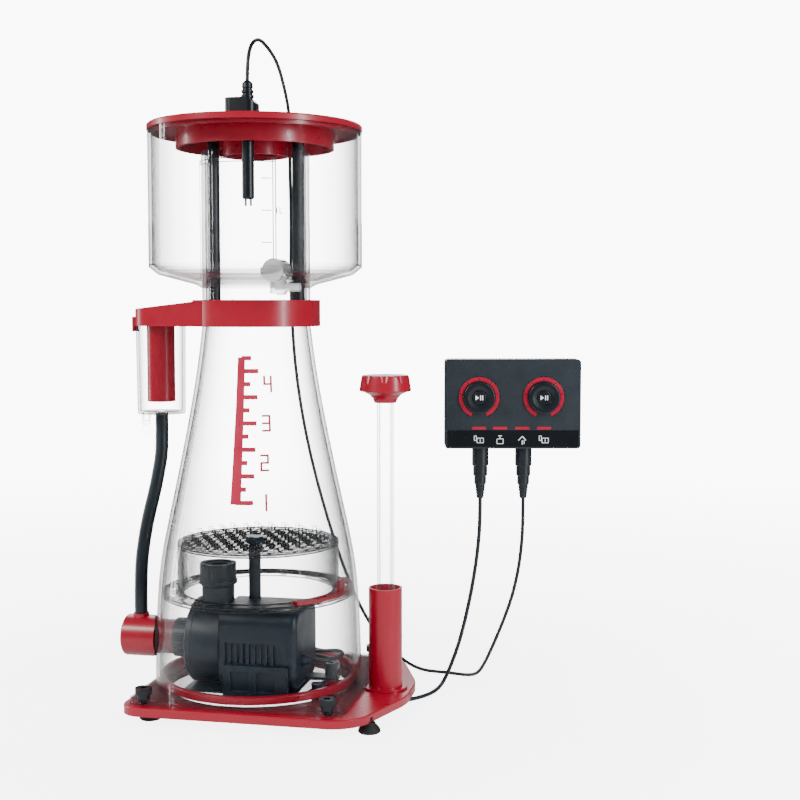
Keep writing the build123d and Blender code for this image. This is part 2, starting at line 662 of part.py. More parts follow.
def make_cup_floor():
    floor = turned([
        (NECK_R, 363.0), (52.0, 366.0), (84.0, 374.5), (CUP_R, 381.0), (CUP_R, CUP_FLOOR_Z),
        (CUP_R - WALL, CUP_FLOOR_Z), (83.0, 378.0), (52.0, 369.5), (NECK_R, 369.5),
    ])
    return floor - along_y(DRAIN_BODY_R, DRAIN_FRONT, -50.0, DRAIN_X, DRAIN_Z)


def make_cup_neck():
    """The neck, with the shallow frame moulded on its front."""
    rib_low, rib_high = 369.6, 471.0
    ring = tube(NECK_R + 1.6, NECK_R - 0.5, rib_low, rib_high)
    inside = tube(NECK_R + 4.0, NECK_R, 360.0, rib_high - 3.0)
    wide = make_face(Polyline((0, 0), polar(90, -152), polar(110, -102), polar(90, -52), close=True))
    narrow = make_face(Polyline((0, 0), polar(90, -149), polar(110, -102), polar(90, -55), close=True))
    rib = ring & (Pos(0, 0, 360.0) * extrude(wide, 120.0))
    rib -= inside & (Pos(0, 0, 355.0) * extrude(narrow, 120.0))
    return tube(NECK_R, 43.7, 339.8, NECK_TOP) + rib


def make_drain_valve_body():
    body = along_y(DRAIN_BODY_R, DRAIN_FRONT, -50.0, DRAIN_X, DRAIN_Z)
    pocket = along_y(8.7, DRAIN_FRONT + 1.2, -69.4, DRAIN_X, DRAIN_Z)
    pocket += block((DRAIN_X - 12.0, DRAIN_X + 12.0), (DRAIN_FRONT - 1, -69.4), (DRAIN_Z + 2.4, DRAIN_Z + 12.0))
    body -= pocket
    body += cylinder(6.0, BARB_Z - 5.0, DRAIN_Z - 6.0, DRAIN_X, DRAIN_Y)
    body += along_x(3.6, DRAIN_X, BARB_END, DRAIN_Y, BARB_Z)
    body += along_x(6.0, DRAIN_X, BARB_SHOULDER, DRAIN_Y, BARB_Z)
    body -= along_y(DRAIN_BORE_R + RUNNING_GAP, -70.0, -51.5, DRAIN_X, DRAIN_Z)
    body -= along_x(2.2, DRAIN_X - 2.0, BARB_END + 1, DRAIN_Y, BARB_Z)
    body -= cylinder(2.2, BARB_Z - 1.0, DRAIN_Z, DRAIN_X, DRAIN_Y)
    return body - cylinder(2.2, DRAIN_Z, DRAIN_Z + 12.0, DRAIN_X, DRAIN_Y)


def make_drain_tap():
    tap = along_y(DRAIN_BORE_R, -71.0, -52.0, DRAIN_X, DRAIN_Z)
    tap += along_y(8.3, -72.4, -69.8, DRAIN_X, DRAIN_Z)
    hexagon = Plane(origin=(DRAIN_X, -71.5, DRAIN_Z), z_dir=(0, -1, 0)) * RegularPolygon(2.6, 6)
    tap += extrude(hexagon, 1.2)
    return tap - cylinder(2.2, DRAIN_Z - 8.0, DRAIN_Z + 8.0, DRAIN_X, DRAIN_Y)


# ---- lid, wipers and sensor ----
def make_lid():
    under = CUP_RIM + 0.3
    lid = turned([
        (0, LID_TOP), (91.4, LID_TOP), (92.6, LID_TOP - 1.2), (92.6, under), (88.7, under), (88.7, under - 3.0),
        (86.2, under - 3.0), (86.2, under), (68.1, under), (68.1, 482.4), (65.0, 482.4), (65.0, under),
        (28.0, under), (28.0, 476.0), (25.0, 476.0), (25.0, under), (0, under),
    ])
    for side in (-1, 1):
        lid -= cylinder(ROD_R, 490.0, ROD_TOP, side * ROD_X, 0.0)
    return lid - cylinder(PROBE_R, 480.0, LID_TOP + 1, SENSOR_X, SENSOR_Y)


def make_wiper_rod(side):
    rod = cylinder(ROD_R, 334.0, ROD_TOP, side * ROD_X, 0.0)
    return chamfer(rod.edges().group_by(Axis.Z)[0], 1.2)


def make_level_sensor():
    low = LID_TOP
    head = Pos(6.5, SENSOR_Y, low) * extrude(RectangleRounded(26.2, 20.0, 6.0), 15.1)
    slope = make_face(Polyline(
        (13.0, low + 15.2), (21.0, low + 9.4), (21.0, low + 30.0), (13.0, low + 30.0), close=True
    ))
    head -= Pos(0, SENSOR_Y, 0) * extrude(Plane.XZ * slope, 20.0, both=True)
    relief = turned([
        (0, low + 7.0), (5.5, low + 7.0), (5.5, 516.0), (4.6, 516.4), (4.6, 517.6), (5.3, 518.0), (5.3, 520.0),
        (4.3, 520.4), (4.3, 521.6), (5.0, 522.0), (5.0, 524.0), (4.0, 524.4), (4.0, 525.6), (4.6, 526.0),
        (4.4, 529.6), (2.6, 531.6), (0, 531.6),
    ], SENSOR_X, SENSOR_Y)
    probe = turned([
        (0, 435.7), (PROBE_R - 1.0, 435.7), (PROBE_R, 436.7), (PROBE_R, low + 1.0), (0, low + 1.0),
    ], SENSOR_X, SENSOR_Y)
    sensor = head + relief + probe
    for side in (-2.2, 2.2):
        sensor += cylinder(0.9, 430.0, 437.0, SENSOR_X + side, SENSOR_Y)
    return sensor


# ---- controller ----
def make_controller_housing():
    half_w, half_d, half_h = CONTROLLER_W / 2, CONTROLLER_D / 2, CONTROLLER_H / 2
    shell = Box(CONTROLLER_W, CONTROLLER_D, CONTROLLER_H)
    shell = fillet(shell.edges().filter_by(Axis.Y), 3.0)
    shell = fillet(shell.edges().group_by(Axis.Y)[0], 1.2)
    shell -= block((-half_w + 3, half_w - 3), (-half_d + 4, half_d - 3), (-half_h + PORT_DEPTH + 2.0, half_h - 3))
    for x in PORT_X:
        shell -= cylinder(PORT_R, -half_h - 1, -half_h + PORT_DEPTH, x, 0.0)
    for x in DIAL_X:
        shell -= along_y(BUTTON_R + RUNNING_GAP, -half_d - 1, -half_d + 5, x, DIAL_Z)
    shell -= block((-half_w + 2.0, half_w - 2.0), (-half_d - 1, -half_d + 1.0), (-half_h + 1.6, -half_h + 16.4))
    for lens in led_solids(0.1):
        shell -= lens
    return in_controller(shell)


def led_solids(grow):
    """The light pipes in the front face: a slotted ring round each dial and a row of four slots."""
    front = -CONTROLLER_D / 2
    lenses = []
    for x in DIAL_X:
        for k in range(8):
            angle = math.radians(-48 + k * 39.5)
            place = Pos(x + 16.9 * math.cos(angle), front + 0.7, DIAL_Z + 16.9 * math.sin(angle))
            turn = Rot(0, 90 - math.degrees(angle), 0)
            lenses.append(place * turn * Box(10.2 + grow, 1.4 + grow, 2.3 + grow))
    for x in STATUS_X:
        lenses.append(Pos(x, front + 0.7, -21.2) * Box(12.4 + grow, 1.4 + grow, 2.0 + grow))
    return lenses


def make_controller_panel():
    half_w, half_d, half_h = CONTROLLER_W / 2, CONTROLLER_D / 2, CONTROLLER_H / 2
    panel = block((-half_w + 2.1, half_w - 2.1), (-half_d + 0.1, -half_d + 1.0), (-half_h + 1.7, -half_h + 16.3))
    return in_controller(panel)


def make_dial(x):
    front = -CONTROLLER_D / 2
    dial = along_y(DIAL_R, front - DIAL_H, front - 0.3, x, DIAL_Z)
    dial = fillet(dial.edges().group_by(Axis.Y)[0], 1.2)
    dial -= Pos(x, front - DIAL_H - 36.6, DIAL_Z) * Sphere(38.0)
    return in_controller(dial - along_y(BUTTON_R + 0.3, front - 10.0, front + 1, x, DIAL_Z))


def make_button(x):
    front = -CONTROLLER_D / 2
    button = along_y(BUTTON_R, front - DIAL_H + 1.0, front + 4.5, x, DIAL_Z)
    return in_controller(fillet(button.edges().group_by(Axis.Y)[0], 0.8))


def make_plug(x):
    """A round connector hanging from a controller port, with its own tapered strain relief."""
    socket_end = -CONTROLLER_H / 2
    tip = PLUG_TIP - CONTROLLER_Z
    plug = turned([
        (0, tip), (2.7, tip), (3.4, tip + 2.0), (4.6, tip + 12.0), (5.4, tip + 14.0), (5.4, tip + 20.0),
        (6.4, tip + 21.0), (6.4, tip + 29.0), (7.4, tip + 30.0), (7.4, socket_end - 0.1), (5.9, socket_end - 0.1),
        (5.9, socket_end + 7.0), (0, socket_end + 7.0),
    ], x, 0.0)
    for k in range(4):
        z = tip + 3.0 + 2.6 * k
        plug -= tube(9.0, 3.1 + 0.35 * k, z, z + 0.9, x, 0.0)
    return in_controller(plug)


def make_circuit_board():
    board = block((-54.0, 54.0), (-3.0, -1.4), (-26.0, 34.0))
    for x in (-40.0, -12.0, 18.0, 44.0):
        board += block((x - 6.0, x + 6.0), (-1.5, 3.0), (-8.0, 10.0))
    return in_controller(board)


def build():
    save("base_plate", make_base_plate())
    save_group("feet", [make_foot(x, y) for x, y in FOOT_PLACES])
    save("reaction_cone", make_reaction_cone())
    save_group("locating_ring", [make_locating_ring(), make_bracket_boss()])
    for number, (x, y) in enumerate(SCREW_PLACES, start=1):
        save(f"thumbscrew_{number}", make_thumbscrew(x, y))
    save("neck_collar", make_neck_collar())
    save("collar_oring", Pos(0, 0, 346.0) * Torus(48.3, 1.5))
    save("silencer_cup", make_silencer_cup())
    save("silencer_tube", make_silencer_tube())
    save("silencer_drain", make_silencer_drain_cap())
    save("air_hose", cord_solid("air_hose", AIR_HOSE_ROUTE, HOSE_D, 2 * HOSE_BORE_R))
    save("venturi_housing", make_venturi_housing())
    save("port_gasket", make_port_gasket())
    save("pump_union", make_pump_union())
    save("volute_cover", make_volute_cover())
    save("volute_chamber", make_volute_chamber())
    save("outlet_nut", make_outlet_nut())
    save("motor_housing", make_motor_housing())
    save("motor_end_cap", make_motor_end_cap())
    save("stator", make_stator())
    save("impeller", make_impeller())
    save("impeller_shaft", along_x(SHAFT_R, -41.0, 21.5))
    save("rotor_magnet", along_x(12.0, -16.0, 16.0) - along_x(SHAFT_R, -17.0, 17.0))
    save_group("rotor_bearings", make_rotor_bearings())
    save("pump_cradle", make_pump_cradle())
    save("hold_down_bracket", make_hold_down_bracket())
    save_group("cord_glands", make_cord_glands())
    save("pump_cord_inner", cord_solid("pump_cord_inner", PUMP_INNER_ROUTE, PUMP_CORD_D))
    save("pump_cord", cord_solid("pump_cord", PUMP_CORD_ROUTE, PUMP_CORD_D))
    save("ring_plate", make_ring_plate())
    save("bubble_plate", make_bubble_plate())
    save("bubble_post", make_bubble_post())
    save("flow_shutter", make_flow_shutter())
    save("outlet_column", make_outlet_column())
    save("valve_sleeve", make_valve_sleeve())
    save("valve_tube", make_valve_tube())
    save("valve_knob", make_valve_knob())
    save("cup_wall", make_cup_wall())
    save("cup_floor", make_cup_floor())
    save("cup_neck", make_cup_neck())
    save("drain_valve_body", make_drain_valve_body())
    save("drain_tap", make_drain_tap())
    save("lid", make_lid())
    save_group("wiper_rods", [make_wiper_rod(-1), make_wiper_rod(1)])
    save("level_sensor", make_level_sensor())
    save("sensor_cord_upper", cord_solid("sensor_cord_upper", SENSOR_UPPER_ROUTE, SENSOR_CORD_D))
    save("sensor_cord_lower", cord_solid("sensor_cord_lower", SENSOR_LOWER_ROUTE, SENSOR_CORD_D))
    save("controller_case", make_controller_housing())
    save("controller_front", make_controller_panel())
    save_group("led_lenses", [in_controller(lens) for lens in led_solids(0.0)])
    save("circuit_board", make_circuit_board())
    save("dial_left", make_dial(DIAL_X[0]))
    save("dial_right", make_dial(DIAL_X[1]))
    save("button_left", make_button(DIAL_X[0]))
    save("button_right", make_button(DIAL_X[1]))
    save("pump_plug", make_plug(PORT_X[0]))
    save("sensor_plug", make_plug(PORT_X[1]))


build()
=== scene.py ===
import math

import bmesh
import bpy
from mathutils import Matrix, Vector


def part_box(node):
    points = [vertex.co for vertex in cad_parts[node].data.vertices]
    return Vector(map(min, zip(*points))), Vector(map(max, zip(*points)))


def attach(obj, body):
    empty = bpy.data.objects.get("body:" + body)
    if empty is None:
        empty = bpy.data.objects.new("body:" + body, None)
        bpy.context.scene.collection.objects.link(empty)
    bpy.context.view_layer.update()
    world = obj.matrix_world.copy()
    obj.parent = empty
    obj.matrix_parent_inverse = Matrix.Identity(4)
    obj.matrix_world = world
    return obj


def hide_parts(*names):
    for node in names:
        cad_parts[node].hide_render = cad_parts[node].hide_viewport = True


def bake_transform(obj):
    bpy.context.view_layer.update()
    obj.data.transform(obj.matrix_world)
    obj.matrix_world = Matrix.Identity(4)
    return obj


# A protein skimmer for an aquarium sump, with its controller hung beside it. Metres, +Z up.
# The column's axis is the world Z axis, the front is towards -Y and the outlet column stands on +X.

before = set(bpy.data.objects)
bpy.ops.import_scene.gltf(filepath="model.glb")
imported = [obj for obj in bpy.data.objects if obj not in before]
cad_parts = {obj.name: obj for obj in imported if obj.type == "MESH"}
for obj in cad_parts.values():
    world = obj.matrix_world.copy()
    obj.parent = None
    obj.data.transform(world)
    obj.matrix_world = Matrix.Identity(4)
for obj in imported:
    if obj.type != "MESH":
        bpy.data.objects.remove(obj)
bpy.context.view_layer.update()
cover_low, cover_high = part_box("volute_cover")
ring_low, ring_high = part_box("ring_plate")

# ---- places shared with the CAD model, some of them read from the frame ----
# The column's outside as (radius, height) pairs, from its flange to its neck.
CONE_PROFILE = [
    (0.0905, 0.0195), (0.0902, 0.045), (0.0888, 0.082), (0.0848, 0.1255), (0.0762, 0.169), (0.0666, 0.214),
    (0.0569, 0.263), (0.0474, 0.327),
]
CUP_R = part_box("cup_wall")[1].x
CONTROLLER_AT = Vector((0.2163, 0.0644, 0.2612))
CONTROLLER_TURN = math.radians(11.5)
CONTROLLER_FRONT = -0.013
DIAL_X = (-0.030, 0.027)
DIAL_Z = 0.006
BUTTON_RISE = 0.005
WINDOW_RECESS = 0.0001
PUMP_Y = (cover_low.y + cover_high.y) / 2
PUMP_Z = (cover_low.z + cover_high.z) / 2
PUMP_CORD_D = 0.0036
SENSOR_CORD_D = 0.0032
CUT_Z = 0.505
BACK_Y = 0.103
LOWER_BEND_Z = (0.500, 0.240)

# ---- print on the column and the cup; angles are degrees about the Z axis ----
WALL_LIFT = 0.00025
SCALE_LOW = 0.184
SCALE_ANGLE = -87.0
SCALE_HALF_ANGLE = 3.5
SCALE_STEP = 0.0055
SCALE_STEPS = 22
TICK_START = 0.0015
TICK_PITCH = 0.0108
TICKS = 12
TICK_HALF = 0.0019
# The ticks' lengths and the figures' places are angles at this radius.
TICK_RADIUS = 0.06
LONG_TICK = 14.0
SHORT_TICK = 8.0
SCALE_FIGURE_AT = 18.0
SCALE_FIGURE_H = 0.014
CUP_LIFT = 0.0002
MARK_Z = (0.3987, 0.4242, 0.4497)
MARK_ANGLE = -69.5
MARK_SPAN = 5.0
MARK_HALF = 0.0004
MARK_FIGURES = (("1", 6.0), ("L", 9.0))
MARK_FIGURE_H = 0.0052

# ---- painted shade: dark strips on the edges of the neck's frame and of the clear plates ----
FRAME_LIFT = 0.0003
FRAME_R = FRAME_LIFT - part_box("cup_neck")[0].y
FRAME_Z = (0.3700, 0.4710)
FRAME_ANGLES = (-151.6, -52.4)
FRAME_BAR = 2.8
FRAME_HALF_ANGLE = 0.55
FRAME_BAND = 0.0030
FRAME_LINE = 0.0007
RIM_HALF = 0.0005
RIM_LIFT = 0.0001
RING_HOLE_R = 0.0660
BUBBLE_PLATE_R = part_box("bubble_plate")[1].x
BUBBLE_PLATE_Z = (0.1385, 0.1415)
# The radius, bottom and top of each plate's outer wall.
PLATE_WALLS = ((ring_high.x, ring_low.z, ring_high.z), (BUBBLE_PLATE_R, *BUBBLE_PLATE_Z))
SLOTS = 18
SLOT_R = 0.0762
# Half the length and half the width of a slot.
SLOT_SIZE = (0.0115, 0.0045)
SLOT_LINE = 0.0009
SLOT_POINTS = 16

# ---- print and light pipes on the controller, in its own frame ----
PRINT_LIFT = 0.00015
ICON_X = (-0.030, -0.0114, 0.0082, 0.0274)
ICON_Z = -0.0318
ICON_LINE = 0.0005
LENS_DEPTH = 0.0012
RING_R = (0.0146, 0.0180)
# The rings' segments, in degrees from the X axis of the controller's front.
RING_SEGMENTS = 8
RING_START = -48.0
RING_PITCH = 39.5
RING_HALF_ANGLE = 18.7
STATUS_HALF = 0.0062
STATUS_Z = (-0.0224, -0.0200)

# ---- screws of the pump's cover ----
COVER_RECESS = 0.0014
COVER_FACE_X = cover_low.x + COVER_RECESS
COVER_SCREWS = 6
COVER_SCREW_RING = 0.033
COVER_SCREW_R = 0.0015
SCREW_SIDES = 24

# ---- studio ----
# The world is bright where the camera sees it, dimmer as fill light, and dimmest where it is mirrored.
FILL_STRENGTH = 1.25
MIRRORED_STRENGTH = 0.10
BACKDROP_STRENGTH = 10.0
FLOOR_GLOW = 0.3
FLOOR_SOLID = 0.5
FLOOR_FADE_START = 0.25
FLOOR_FADE_END = 1.6
FLOOR_HALF = 3.0
FLOOR_GREY = 0.97

# ---- camera ----
CAMERA_LENS_MM = 59.27
CAMERA_SENSOR_MM = 36.0
CAMERA_AT = (0.3520, -1.1030, 0.3500)
CAMERA_TILT = math.radians(85.8)
CAMERA_PAN = math.radians(11.5)


# ---- camera, studio and floor ----
def make_camera():
    """The camera stands to the front right of the skimmer and looks slightly down."""
    data = bpy.data.cameras.new("camera")
    data.lens = CAMERA_LENS_MM
    data.sensor_width = CAMERA_SENSOR_MM
    data.clip_start = 0.05
    camera = bpy.data.objects.new("camera", data)
    camera.location = CAMERA_AT
    camera.rotation_euler = (CAMERA_TILT, 0.0, CAMERA_PAN)
    bpy.context.collection.objects.link(camera)
    bpy.context.scene.camera = camera


def make_light(name, location, target, size, power, color=(1.0, 1.0, 1.0), height=None):
    """A square area light aimed at a point, or an upright strip where a height is given."""
    data = bpy.data.lights.new(name, "AREA")
    data.energy = power
    data.color = color
    data.size = size
    if height:
        data.shape = "RECTANGLE"
        data.size_y = height
    light = bpy.data.objects.new(name, data)
    light.location = location
    light.rotation_euler = (Vector(target) - Vector(location)).to_track_quat("-Z", "Y").to_euler()
    bpy.context.collection.objects.link(light)


def make_world():
    """White surroundings with a strength for each kind of ray."""
    world = bpy.data.worlds.new("studio")
    bpy.context.scene.world = world
    world.use_nodes = True
    tree = world.node_tree
    background = tree.nodes["Background"]
    background.inputs["Color"].default_value = (1.0, 1.0, 1.0, 1.0)
    ray = tree.nodes.new("ShaderNodeLightPath")
    seen = tree.nodes.new("ShaderNodeMapRange")
    seen.inputs["To Min"].default_value = FILL_STRENGTH
    seen.inputs["To Max"].default_value = MIRRORED_STRENGTH
    tree.links.new(ray.outputs["Is Glossy Ray"], seen.inputs["Value"])
    open_sky = tree.nodes.new("ShaderNodeMath")
    open_sky.operation = "MULTIPLY_ADD"
    open_sky.inputs[1].default_value = BACKDROP_STRENGTH - FILL_STRENGTH
    tree.links.new(ray.outputs["Is Camera Ray"], open_sky.inputs[0])
    tree.links.new(seen.outputs["Result"], open_sky.inputs[2])
    tree.links.new(open_sky.outputs["Value"], background.inputs["Strength"])


def make_lights():
    """A key light from the front left, a strip on each side for long highlights, and one from behind."""
    make_light("key_light", (-0.9, -1.0, 1.2), (0.05, 0.0, 0.25), 0.5, 22.0, (1.0, 0.985, 0.96))
    make_light("left_strip", (-1.0, 0.1, 0.35), (0.0, 0.0, 0.25), 0.08, 5.0, (1.0, 1.0, 1.0), 0.9)
    make_light("right_strip", (1.1, -0.5, 0.6), (0.1, 0.0, 0.25), 0.15, 12.0, (0.97, 0.985, 1.0), 1.0)
    make_light("back_light", (-0.3, 1.1, 0.9), (0.0, 0.0, 0.3), 0.9, 14.0)


def make_floor():
    """A plain pale floor that fades into the white surroundings with distance."""
    mesh = bpy.data.meshes.new("floor")
    half = FLOOR_HALF
    corners = [(-half, -half, 0), (half, -half, 0), (half, half, 0), (-half, half, 0)]
    mesh.from_pydata(corners, [], [(0, 1, 2, 3)])
    floor = bpy.data.objects.new("floor", mesh)
    bpy.context.collection.objects.link(floor)
    material = new_material("studio_floor")
    shader = material.node_tree.nodes["Principled BSDF"]
    shader.inputs["Base Color"].default_value = (FLOOR_GREY, FLOOR_GREY, FLOOR_GREY, 1.0)
    shader.inputs["Roughness"].default_value = 0.85
    shader.inputs["Specular IOR Level"].default_value = 0.2
    shader.inputs["Emission Color"].default_value = (1.0, 1.0, 1.0, 1.0)
    shader.inputs["Emission Strength"].default_value = FLOOR_GLOW
    tree = material.node_tree
    coordinates = tree.nodes.new("ShaderNodeTexCoord")
    distance = tree.nodes.new("ShaderNodeVectorMath")
    distance.operation = "LENGTH"
    tree.links.new(coordinates.outputs["Object"], distance.inputs[0])
    fade = remap(tree, distance.outputs["Value"], FLOOR_SOLID, 0.0, FLOOR_FADE_START, FLOOR_FADE_END)
    tree.links.new(fade, shader.inputs["Alpha"])
    mesh.materials.append(material)


# ---- materials ----
CLEAR_TINT = (0.05, 0.055, 0.06)
CLEAR_EDGE = (0.005, 0.006, 0.007)
TAP_TINT = (0.93, 0.94, 0.95)
TAP_EDGE = (0.004, 0.005, 0.006)
PLATE_TINT = (0.03, 0.034, 0.036)
PLATE_EDGE = (0.008, 0.009, 0.010)


def new_material(name):
    """A material with its shader nodes ready."""
    material = bpy.data.materials.new(name)
    material.use_nodes = True
    return material


def noise(tree, scale, detail=3.0, stretch=None):
    """A noise texture in object space, in metres."""
    coordinates = tree.nodes.new("ShaderNodeTexCoord")
    texture = tree.nodes.new("ShaderNodeTexNoise")
    texture.inputs["Scale"].default_value = scale
    texture.inputs["Detail"].default_value = detail
    source = coordinates.outputs["Object"]
    if stretch:
        mapping = tree.nodes.new("ShaderNodeMapping")
        mapping.inputs["Scale"].default_value = stretch
        tree.links.new(source, mapping.inputs["Vector"])
        source = mapping.outputs["Vector"]
    tree.links.new(source, texture.inputs["Vector"])
    return texture.outputs["Fac"]


def remap(tree, source, low, high, from_low=0.3, from_high=0.7):
    """Maps a value from one range to another; the default range is where a noise texture mostly lies."""
    node = tree.nodes.new("ShaderNodeMapRange")
    node.inputs["From Min"].default_value = from_low
    node.inputs["From Max"].default_value = from_high
    node.inputs["To Min"].default_value = low
    node.inputs["To Max"].default_value = high
    tree.links.new(source, node.inputs["Value"])
    return node.outputs["Result"]


def two_tone(tree, factor, first, second):
    """A colour between two, by a factor."""
    node = tree.nodes.new("ShaderNodeMix")
    node.data_type = "RGBA"
    node.inputs["A"].default_value = (*first, 1.0)
    node.inputs["B"].default_value = (*second, 1.0)
    tree.links.new(factor, node.inputs["Factor"])
    return node.outputs["Result"]


def moulded(name, color, roughness, grain=900.0, bump=0.08, shift=0.12, coat=0.0):
    """Moulded plastic or rubber: a faint mottle, uneven gloss, a fine grain and softened edges."""
    material = new_material(name)
    tree = material.node_tree
    shader = tree.nodes["Principled BSDF"]
    lighter = tuple(min(1.0, c * (1 + shift)) for c in color)
    darker = tuple(c * (1 - shift) for c in color)
    mottle = two_tone(tree, remap(tree, noise(tree, 35.0), 0.0, 1.0), darker, lighter)
    tree.links.new(mottle, shader.inputs["Base Color"])
    spread = 0.10 * roughness
    gloss = remap(tree, noise(tree, 70.0, 5.0), roughness - spread, roughness + spread)
    tree.links.new(gloss, shader.inputs["Roughness"])
    soft_edge = tree.nodes.new("ShaderNodeBevel")
    soft_edge.samples = 4
    soft_edge.inputs["Radius"].default_value = 0.0005
    bump_node = tree.nodes.new("ShaderNodeBump")
    bump_node.inputs["Strength"].default_value = bump
    bump_node.inputs["Distance"].default_value = 0.0004
    tree.links.new(noise(tree, grain, 2.0), bump_node.inputs["Height"])
    tree.links.new(soft_edge.outputs["Normal"], bump_node.inputs["Normal"])
    tree.links.new(bump_node.outputs["Normal"], shader.inputs["Normal"])
    shader.inputs["Coat Weight"].default_value = coat
    shader.inputs["Coat Roughness"].default_value = 0.06
    return material


def clear_plastic(name, centre_alpha, edge_alpha, tint=CLEAR_TINT, edge=CLEAR_EDGE, power=2.2):
    """Polished clear acrylic seen as a thin wall: open face-on, dark and shining towards its edges."""
    material = new_material(name)
    tree = material.node_tree
    shader = tree.nodes["Principled BSDF"]
    facing = tree.nodes.new("ShaderNodeLayerWeight")
    facing.inputs["Blend"].default_value = 0.5
    curve = tree.nodes.new("ShaderNodeMath")
    curve.operation = "POWER"
    curve.inputs[1].default_value = power
    tree.links.new(facing.outputs["Facing"], curve.inputs[0])
    tree.links.new(two_tone(tree, curve.outputs["Value"], tint, edge), shader.inputs["Base Color"])
    alpha = remap(tree, curve.outputs["Value"], centre_alpha, edge_alpha, 0.0, 1.0)
    tree.links.new(alpha, shader.inputs["Alpha"])
    tree.links.new(remap(tree, noise(tree, 18.0), 0.02, 0.07), shader.inputs["Roughness"])
    ripple = tree.nodes.new("ShaderNodeBump")
    ripple.inputs["Strength"].default_value = 0.04
    ripple.inputs["Distance"].default_value = 0.001
    tree.links.new(noise(tree, 24.0, 1.0, (1.0, 1.0, 0.35)), ripple.inputs["Height"])
    tree.links.new(ripple.outputs["Normal"], shader.inputs["Normal"])
    shader.inputs["IOR"].default_value = 1.49
    shader.inputs["Coat Weight"].default_value = 1.0
    shader.inputs["Coat Roughness"].default_value = 0.02
    return material


def metal(name, color, roughness):
    """Bare metal with fine streaks."""
    material = new_material(name)
    tree = material.node_tree
    shader = tree.nodes["Principled BSDF"]
    tone = remap(tree, noise(tree, 300.0, 4.0, (0.05, 1.0, 1.0)), 0.0, 1.0)
    tree.links.new(two_tone(tree, tone, tuple(c * 0.8 for c in color), color), shader.inputs["Base Color"])
    gloss = remap(tree, noise(tree, 120.0), roughness * 0.7, roughness * 1.3)
    tree.links.new(gloss, shader.inputs["Roughness"])
    shader.inputs["Metallic"].default_value = 1.0
    return material


def light_pipe(name, color, strength):
    """Smooth moulded plastic with a faint glow."""
    material = moulded(name, color, 0.25, bump=0.02)
    shader = material.node_tree.nodes["Principled BSDF"]
    shader.inputs["Emission Color"].default_value = (*color, 1.0)
    shader.inputs["Emission Strength"].default_value = strength
    return material


RED = (0.27, 0.0, 0.013)
SLATE = (0.0020, 0.0105, 0.0205)


def make_materials():
    """Every material by its short name. Colours are linear."""
    return {
        "red": moulded("red_gloss_plastic", RED, 0.30, grain=300.0, bump=0.008, shift=0.04, coat=0.1),
        "slate": moulded("slate_satin_plastic", SLATE, 0.42, grain=1500.0, bump=0.12),
        "black": moulded("black_satin_plastic", (0.0018, 0.0052, 0.0090), 0.36, grain=1400.0, bump=0.1),
        "case": moulded("charcoal_case", (0.0080, 0.0150, 0.0220), 0.46, grain=2200.0, bump=0.16),
        "window": moulded("gloss_black_window", (0.004, 0.005, 0.007), 0.07, bump=0.01, coat=1.0),
        "rubber": moulded("black_rubber", (0.006, 0.006, 0.0065), 0.7, grain=1200.0, bump=0.2),
        "hose": moulded("silicone_hose", (0.0030, 0.0095, 0.0160), 0.4, grain=700.0, bump=0.08),
        "cord": moulded("cord_jacket", (0.0035, 0.0085, 0.0135), 0.38, grain=1800.0, bump=0.1),
        "clear": clear_plastic("clear_acrylic", 0.004, 1.0, power=2.0),
        "cup_clear": clear_plastic("clear_cup", 0.004, 1.0, power=2.2),
        "small_clear": clear_plastic("clear_fittings", 0.01, 1.0, power=2.0),
        "tap_clear": clear_plastic("clear_tap", 0.40, 1.0, TAP_TINT, TAP_EDGE, 1.5),
        "plate_clear": clear_plastic("clear_plates", 0.04, 1.0, PLATE_TINT, PLATE_EDGE, 1.6),
        # Painted shade: a dark opaque material for the strips laid on the clear parts' edges.
        "edge": moulded("clear_edge_shadow", (0.006, 0.007, 0.008), 0.5, grain=600.0, bump=0.02),
        "led": light_pipe("red_light_pipe", (0.32, 0.0, 0.022), 0.06),
        "ceramic": moulded("white_ceramic", (0.82, 0.82, 0.79), 0.15, grain=600.0, bump=0.02),
        "ferrite": moulded("ferrite_magnet", (0.03, 0.03, 0.034), 0.5, grain=900.0, bump=0.15),
        "steel": metal("stator_steel", (0.45, 0.45, 0.46), 0.4),
        "board": moulded("circuit_board_green", (0.02, 0.12, 0.05), 0.35, grain=500.0, bump=0.2),
        "white": moulded("white_print", (0.75, 0.77, 0.78), 0.5, grain=1500.0, bump=0.02),
        "red_print": moulded("red_print", (0.36, 0.0, 0.030), 0.45, grain=1500.0, bump=0.02),
        "grey_print": moulded("grey_print", (0.03, 0.032, 0.035), 0.5, grain=1500.0, bump=0.02),
    }


